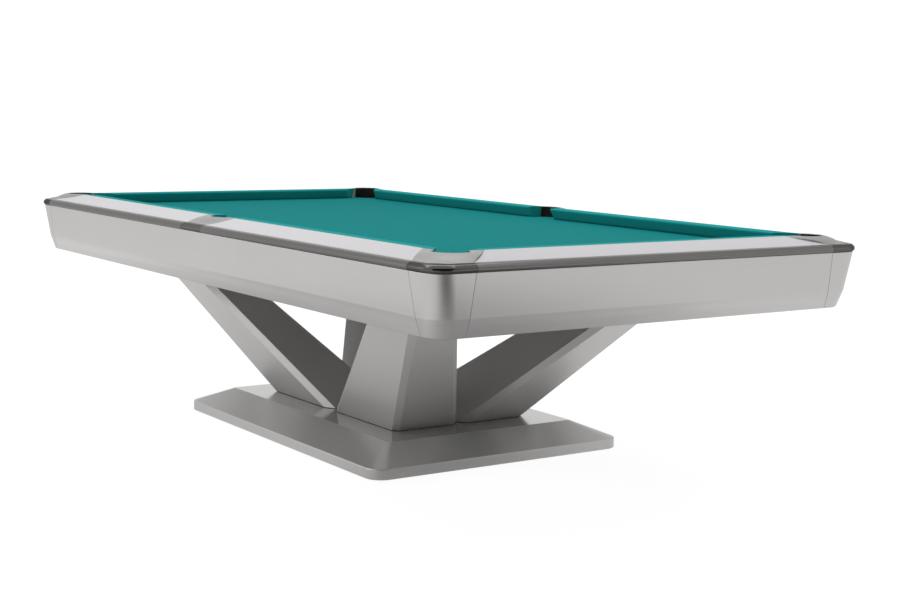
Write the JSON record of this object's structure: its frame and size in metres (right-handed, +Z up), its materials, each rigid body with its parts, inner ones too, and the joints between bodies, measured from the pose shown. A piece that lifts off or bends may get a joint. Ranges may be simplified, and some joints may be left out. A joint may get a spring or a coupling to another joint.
{
  "type": "pool table",
  "caption": "Nine-foot pool table with teal cloth, white rails, brushed-metal aprons, six metal pockets, splayed legs and a bevelled base plate.",
  "frame": {"origin": "centre of the footprint, on the floor", "axes": "+Z up, +X along the table's length, +Y across it"},
  "size_m": [2.868, 1.598, 0.7895],
  "materials": {
    "base_finish": "satin",
    "leg_finish": "satin",
    "steel": "satin",
    "frame_finish": "matte",
    "slate": "matte",
    "cloth": "matte",
    "laminate": "satin",
    "casting": "satin",
    "liner": "matte",
    "trim": "satin",
    "apron": "satin"
  },
  "bodies": {
    "table": {"base_plate": "base_finish", "leg_front_left": "leg_finish", "leg_front_right": "leg_finish", "leg_back_left": "leg_finish", "leg_back_right": "leg_finish", "subframe": "frame_finish", "slate_left": "slate", "slate_centre": "slate", "slate_right": "slate", "bed_cloth": "cloth", "cushion_front_left": "cloth", "cushion_front_right": "cloth", "cushion_back_left": "cloth", "cushion_back_right": "cloth", "cushion_end_left": "cloth", "cushion_end_right": "cloth", "rail_front_left": "laminate", "rail_front_right": "laminate", "rail_back_left": "laminate", "rail_back_right": "laminate", "rail_end_left": "laminate", "rail_end_right": "laminate", "corner_casting_front_left": "casting", "corner_casting_front_right": "casting", "corner_casting_back_left": "casting", "corner_casting_back_right": "casting", "side_casting_front": "casting", "side_casting_back": "casting", "pocket_liner_front_left": "liner", "pocket_liner_front_right": "liner", "pocket_liner_back_left": "liner", "pocket_liner_back_right": "liner", "pocket_liner_front": "liner", "pocket_liner_back": "liner", "trim_front_left": "trim", "trim_front_right": "trim", "trim_back_left": "trim", "trim_back_right": "trim", "trim_end_left": "trim", "trim_end_right": "trim", "corner_trim_front_left": "trim", "corner_trim_front_right": "trim", "corner_trim_back_left": "trim", "corner_trim_back_right": "trim", "apron_front": "apron", "apron_back": "apron", "apron_end_left": "apron", "apron_end_right": "apron", "corner_apron_front_left": "apron", "corner_apron_front_right": "apron", "corner_apron_back_left": "apron", "corner_apron_back_right": "apron"},
    "pad_front_left": {"foot_pad_front_left": "steel"},
    "stem_front_left": {"foot_stem_front_left": "steel"},
    "pad_front_right": {"foot_pad_front_right": "steel"},
    "stem_front_right": {"foot_stem_front_right": "steel"},
    "pad_back_left": {"foot_pad_back_left": "steel"},
    "stem_back_left": {"foot_stem_back_left": "steel"},
    "pad_back_right": {"foot_pad_back_right": "steel"},
    "stem_back_right": {"foot_stem_back_right": "steel"}
  },
  "joints": [
    {"name": "level_front_left", "type": "slide", "parent": "table", "child": "pad_front_left", "axis": [0, 0, -1], "range_m": [0, 0.012]},
    {"name": "screw_front_left", "type": "hinge", "parent": "pad_front_left", "child": "stem_front_left", "pos_m": [-0.57, -0.405, 0.03], "axis": [0, 0, -1], "range_deg": [0, 2880]},
    {"name": "level_front_right", "type": "slide", "parent": "table", "child": "pad_front_right", "axis": [0, 0, -1], "range_m": [0, 0.012]},
    {"name": "screw_front_right", "type": "hinge", "parent": "pad_front_right", "child": "stem_front_right", "pos_m": [0.57, -0.405, 0.03], "axis": [0, 0, -1], "range_deg": [0, 2880]},
    {"name": "level_back_left", "type": "slide", "parent": "table", "child": "pad_back_left", "axis": [0, 0, -1], "range_m": [0, 0.012]},
    {"name": "screw_back_left", "type": "hinge", "parent": "pad_back_left", "child": "stem_back_left", "pos_m": [-0.57, 0.405, 0.03], "axis": [0, 0, -1], "range_deg": [0, 2880]},
    {"name": "level_back_right", "type": "slide", "parent": "table", "child": "pad_back_right", "axis": [0, 0, -1], "range_m": [0, 0.012]},
    {"name": "screw_back_right", "type": "hinge", "parent": "pad_back_right", "child": "stem_back_right", "pos_m": [0.57, 0.405, 0.03], "axis": [0, 0, -1], "range_deg": [0, 2880]}
  ],
  "couplings": [
    {"joint": "level_front_left", "follows": "screw_front_left", "m_per_rad": 0.0002387},
    {"joint": "level_front_right", "follows": "screw_front_right", "m_per_rad": 0.0002387},
    {"joint": "level_back_left", "follows": "screw_back_left", "m_per_rad": 0.0002387},
    {"joint": "level_back_right", "follows": "screw_back_right", "m_per_rad": 0.0002387}
  ]
}
